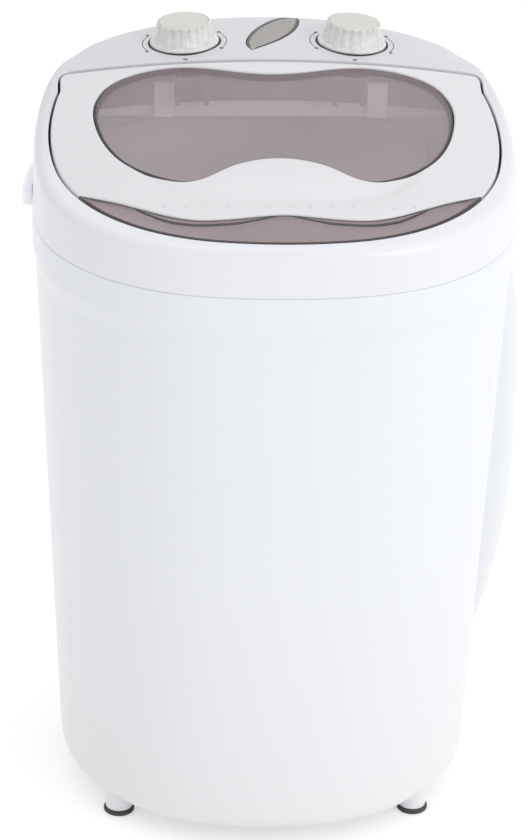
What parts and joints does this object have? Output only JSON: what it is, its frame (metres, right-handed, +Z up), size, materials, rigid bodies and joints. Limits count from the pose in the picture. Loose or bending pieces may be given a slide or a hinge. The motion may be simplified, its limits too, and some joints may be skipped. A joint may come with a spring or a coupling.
{
  "type": "mini washing machine",
  "caption": "Compact top-loading washing machine: tapered white tub, crowned top frame, hinged lid with smoked window, two dials, belt-driven pulsator.",
  "frame": {"origin": "on the floor under the centre of the tub", "axes": "+Z up, -Y towards the user (the lid's grip), +X to the user's right; the hinge and the dials are towards +Y"},
  "size_m": [0.3856, 0.3678, 0.5762],
  "materials": {
    "body_white": "smooth moulded polypropylene, satin gloss",
    "lid_white": "smooth moulded polypropylene, satin gloss",
    "inner_white": "moulded polypropylene",
    "tinted_clear": "smoky tinted acrylic",
    "knob_clear": "clear faceted acrylic over white",
    "cap_ivory": "pearl ivory",
    "switch_grey": "moulded housing",
    "lamp_clear": "small lamp",
    "rubber_grey": "soft",
    "rubber_black": "soft",
    "wire_black": "insulated wires",
    "pin_steel": "ground steel",
    "screw_steel": "zinc plated",
    "bush_bronze": "sintered bronze",
    "fitting_grey": "moulded polypropylene",
    "pulsator_white": "moulded polypropylene",
    "pulley_alloy": "die cast",
    "motor_paint": "pressed steel shell",
    "winding_copper": "laminations and varnished winding",
    "rotor_iron": "laminations",
    "bracket_zinc": "zinc plated sheet",
    "capacitor_grey": "moulded can",
    "filter_blue": "frame and mesh"
  },
  "bodies": {
    "cabinet": {"tub_body": "body_white", "top_frame": "body_white", "left_handle": "body_white", "right_handle": "body_white", "handle_screws": "screw_steel", "control_box_cover": "inner_white", "control_cover_screws": "screw_steel", "lid_bumpers": "rubber_grey", "hinge_pins": "pin_steel", "wash_timer_body": "switch_grey", "mode_switch_body": "switch_grey", "control_screws": "screw_steel", "indicator_lens": "tinted_clear", "indicator_lamp": "lamp_clear", "bearing_housing": "fitting_grey", "bearing_bolts": "screw_steel", "upper_bush": "bush_bronze", "lower_bush": "bush_bronze", "shaft_seal": "rubber_black", "drive_belt": "rubber_black", "motor_shell": "motor_paint", "motor_end_cap": "pulley_alloy", "motor_stator": "winding_copper", "motor_bearings": "pin_steel", "motor_bracket": "bracket_zinc", "bracket_screws": "screw_steel", "motor_bolts": "screw_steel", "capacitor": "capacitor_grey", "capacitor_clamp": "bracket_zinc", "duct_cover": "body_white", "wire_harness": "wire_black", "cord_gland": "rubber_black", "circulation_cover": "inner_white", "drain_grate": "inner_white", "drain_elbow": "fitting_grey", "base_cover": "fitting_grey", "base_screws": "screw_steel", "foot_pads": "rubber_grey", "frame_screws": "screw_steel"},
    "lid": {"lid_frame": "lid_white", "lid_window": "tinted_clear", "lid_grip": "tinted_clear"},
    "timer_dial": {"wash_timer_knob": "knob_clear", "wash_timer_cap": "cap_ivory", "wash_timer_shaft": "pin_steel"},
    "mode_dial": {"mode_knob": "knob_clear", "mode_cap": "cap_ivory", "mode_shaft": "pin_steel"},
    "agitator": {"pulsator": "pulsator_white", "pulsator_screw": "screw_steel", "main_shaft": "pin_steel", "driven_pulley": "fitting_grey", "pulley_nut": "screw_steel"},
    "motor_armature": {"motor_rotor": "rotor_iron", "motor_shaft": "pin_steel", "motor_pulley": "pulley_alloy"},
    "lint_trap": {"lint_filter": "filter_blue"}
  },
  "joints": [
    {"name": "lid_hinge", "type": "hinge", "parent": "cabinet", "child": "lid", "pos_m": [0, 0.072, 0.545], "axis": [-1, 0, 0], "range_deg": [0, 104]},
    {"name": "wash_timer_turn", "type": "hinge", "parent": "cabinet", "child": "timer_dial", "pos_m": [-0.0646, 0.1195, 0.55759], "axis": [0.0593, 0, -0.9982], "range_deg": [0, 300]},
    {"name": "mode_turn", "type": "hinge", "parent": "cabinet", "child": "mode_dial", "pos_m": [0.0646, 0.1195, 0.55759], "axis": [-0.0593, 0, -0.9982], "range_deg": [-120, 120]},
    {"name": "agitator_spin", "type": "hinge", "parent": "cabinet", "child": "agitator", "pos_m": [0, 0, 0.09], "axis": [0, 0, 1], "continuous": true},
    {"name": "motor_spin", "type": "hinge", "parent": "cabinet", "child": "motor_armature", "pos_m": [0, 0.096, 0.08], "axis": [0, 0, 1], "continuous": true},
    {"name": "lint_filter_slide", "type": "slide", "parent": "cabinet", "child": "lint_trap", "axis": [0.0467, 0.0106, 0.9989], "range_m": [0, 0.05]}
  ],
  "couplings": [
    {"joint": "agitator_spin", "follows": "motor_spin", "ratio": 0.2431}
  ]
}
